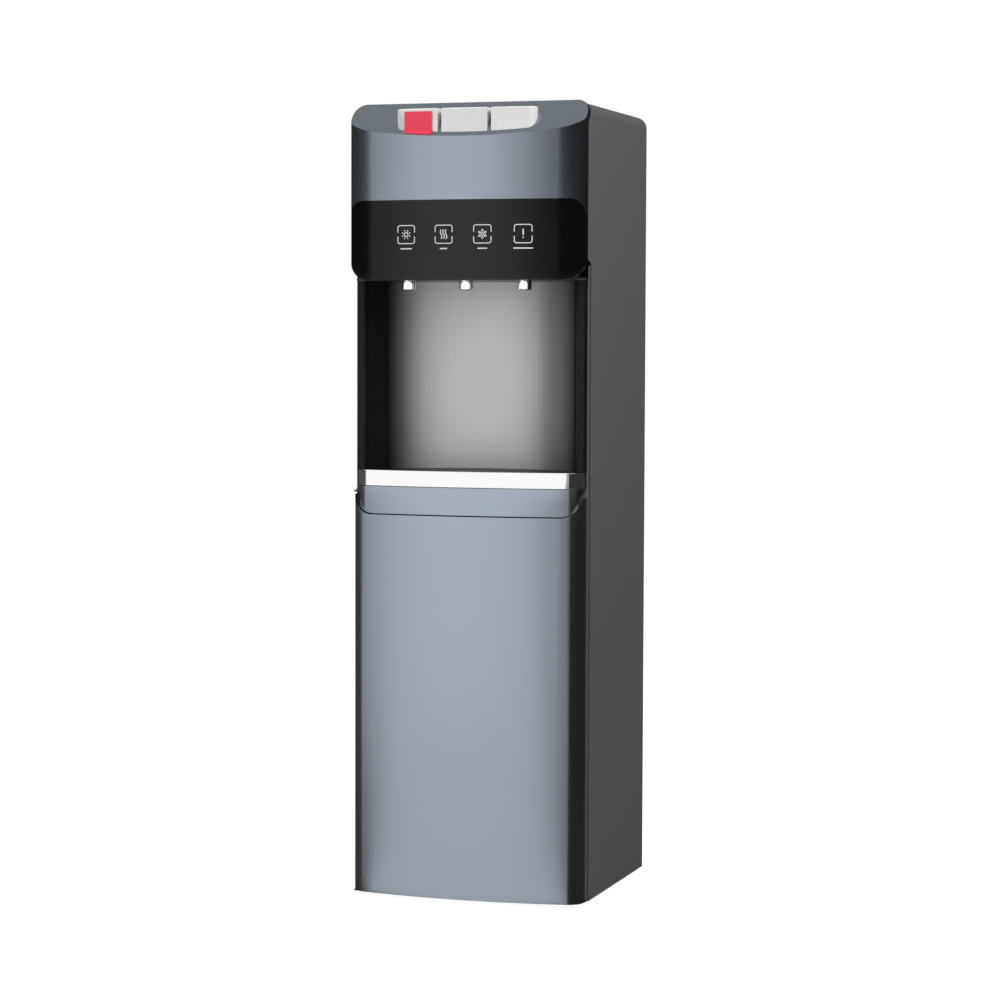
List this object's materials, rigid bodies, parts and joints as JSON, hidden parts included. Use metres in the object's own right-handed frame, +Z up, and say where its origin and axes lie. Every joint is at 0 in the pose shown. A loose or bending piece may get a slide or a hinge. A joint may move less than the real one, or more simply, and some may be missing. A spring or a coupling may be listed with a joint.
{
  "type": "water dispenser",
  "caption": "Free-standing bottom-loading water dispenser: bowed door over a bottle bay, steel-backed alcove with drip tray, black control panel and hood with push buttons and a red child lock.",
  "frame": {"origin": "on the floor, at the middle of the overall box in plan", "axes": "+Z up, -Y out of the door and alcove, +X to the right of someone facing the front"},
  "size_m": [0.3216, 0.344, 1.046],
  "materials": {
    "front_paint": "satin metallic blue-grey paint",
    "cabinet_paint": "satin grey powder coat",
    "black_gloss": "high gloss black",
    "black_plastic": "fine matt texture",
    "grey_plastic": "fine matt texture",
    "white_plastic": "satin white",
    "red_plastic": "gloss",
    "steel": "brushed",
    "bright_steel": "polished, vertical reflections",
    "chrome_trim": "bright chrome",
    "rubber": "matt",
    "condenser_black": "satin black",
    "copper": "drawn copper tube",
    "hose": "translucent silicone",
    "foam": "moulded insulation",
    "board_green": "solder mask"
  },
  "bodies": {
    "cabinet": {"alcove_back": "bright_steel", "alcove_liner": "black_plastic", "alcove_pillars": "black_gloss", "base_pan": "black_plastic", "cabinet_wrap": "cabinet_paint", "cold_tank": "foam", "compressor": "condenser_black", "compressor_mounts": "rubber", "condenser_brackets": "condenser_black", "condenser_coil": "condenser_black", "condenser_wires": "condenser_black", "control_panel": "black_gloss", "cord_gland": "rubber", "deck_plate": "steel", "door_magnet": "black_plastic", "drain_spigot": "black_plastic", "fascia": "front_paint", "feet": "rubber", "filter_drier": "copper", "front_frame": "black_plastic", "heater_band": "steel", "hood_cover": "front_paint", "hot_tank": "steel", "indicator_board": "board_green", "lower_hinge": "steel", "power_box": "black_plastic", "probe_clips": "grey_plastic", "rear_panel": "cabinet_paint", "refrigerant_lines": "copper", "spout_plate": "black_plastic", "spouts": "chrome_trim", "suction_probe": "grey_plastic", "suction_tube": "hose", "switch_plate": "black_plastic", "tank_shelf": "steel", "tap_bodies": "grey_plastic", "upper_hinge": "steel", "water_pump": "black_plastic", "water_tubes": "hose"},
    "door": {"door_outer": "front_paint", "door_inner": "grey_plastic", "strike_plate": "steel"},
    "drip_tray": {"drip_tray": "black_plastic", "tray_trim": "chrome_trim"},
    "drip_grille": {"drip_grille": "black_plastic"},
    "child_lock": {"child_lock": "red_plastic"},
    "hot_switch": {"hot_switch": "black_plastic"},
    "cold_switch": {"cold_switch": "black_plastic"},
    "drain_cap": {"drain_cap": "black_plastic"},
    "hot_button": {"hot_button": "white_plastic", "hot_push_rod": "grey_plastic", "hot_return_spring": "steel"},
    "ambient_button": {"ambient_button": "white_plastic", "ambient_push_rod": "grey_plastic", "ambient_return_spring": "steel"},
    "cold_button": {"cold_button": "white_plastic", "cold_push_rod": "grey_plastic", "cold_return_spring": "steel"}
  },
  "joints": [
    {"name": "door_swing", "type": "hinge", "parent": "cabinet", "child": "door", "pos_m": [-0.1545, -0.13745, 0.26], "axis": [0, 0, -1], "range_deg": [0, 105]},
    {"name": "tray_pull", "type": "slide", "parent": "cabinet", "child": "drip_tray", "axis": [0, -1, 0], "range_m": [0, 0.14]},
    {"name": "grille_lift", "type": "slide", "parent": "drip_tray", "child": "drip_grille", "axis": [0, 0, 1], "range_m": [0, 0.06]},
    {"name": "lock_slide", "type": "slide", "parent": "cabinet", "child": "child_lock", "axis": [-1, 0, 0], "range_m": [0, 0.006], "stiffness_N_per_m": 150, "springref_m": -0.004},
    {"name": "hot_press", "type": "slide", "parent": "cabinet", "child": "hot_button", "axis": [0, 0, -1], "range_m": [0, 0.006], "stiffness_N_per_m": 300, "springref_m": -0.01, "deforming": ["hot_return_spring"]},
    {"name": "ambient_press", "type": "slide", "parent": "cabinet", "child": "ambient_button", "axis": [0, 0, -1], "range_m": [0, 0.006], "stiffness_N_per_m": 300, "springref_m": -0.01, "deforming": ["ambient_return_spring"]},
    {"name": "cold_press", "type": "slide", "parent": "cabinet", "child": "cold_button", "axis": [0, 0, -1], "range_m": [0, 0.006], "stiffness_N_per_m": 300, "springref_m": -0.01, "deforming": ["cold_return_spring"]},
    {"name": "hot_switch_rock", "type": "hinge", "parent": "cabinet", "child": "hot_switch", "pos_m": [0.087, 0.1437, 1.005], "axis": [-1, 0, 0], "range_deg": [0, 16]},
    {"name": "cold_switch_rock", "type": "hinge", "parent": "cabinet", "child": "cold_switch", "pos_m": [0.113, 0.1437, 1.005], "axis": [-1, 0, 0], "range_deg": [0, 16]},
    {"name": "drain_cap_turn", "type": "hinge", "parent": "cabinet", "child": "drain_cap", "pos_m": [-0.1, 0.155, 0.768], "axis": [0, 1, 0], "continuous": true}
  ]
}
